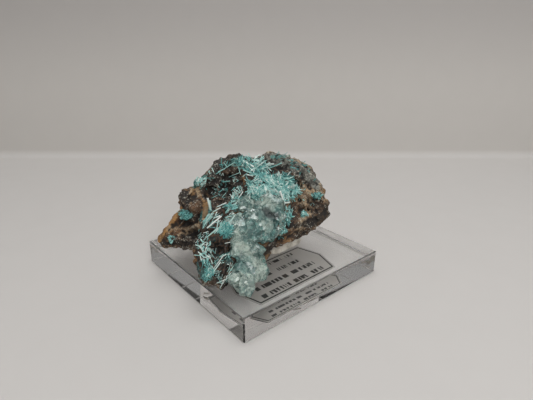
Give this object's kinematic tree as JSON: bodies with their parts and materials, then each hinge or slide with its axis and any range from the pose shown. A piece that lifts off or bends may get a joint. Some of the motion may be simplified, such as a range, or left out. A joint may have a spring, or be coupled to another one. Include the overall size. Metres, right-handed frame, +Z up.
{
  "type": "mineral specimen",
  "caption": "Aurichalcite needles and clear hemimorphite crystals on limonite, held by putty on a square clear acrylic base with a paper label beneath.",
  "frame": {"origin": "centre of the acrylic base's underside, which stands on the table", "axes": "+Z up; the base's sides lie along X and Y, and the specimen's display face looks towards the base's -X -Y corner"},
  "size_m": [0.0476, 0.0444, 0.0324],
  "materials": {
    "limonite": "rough, dull",
    "aurichalcite": "silky needles",
    "hemimorphite": "glassy, cloudy",
    "putty": "matte",
    "acrylic": "polished, clear",
    "label_paper": "matte"
  },
  "bodies": {
    "root": {"limonite_stone": "limonite", "aurichalcite_crust": "aurichalcite", "aurichalcite_patch_arm": "aurichalcite", "aurichalcite_patch_tip": "aurichalcite", "aurichalcite_patch_right": "aurichalcite", "aurichalcite_patch_edge": "aurichalcite", "aurichalcite_patch_shoulder": "aurichalcite", "hemimorphite_cluster": "hemimorphite", "mounting_putty": "putty", "acrylic_slab": "acrylic", "base_label": "label_paper"}
  },
  "joints": []
}
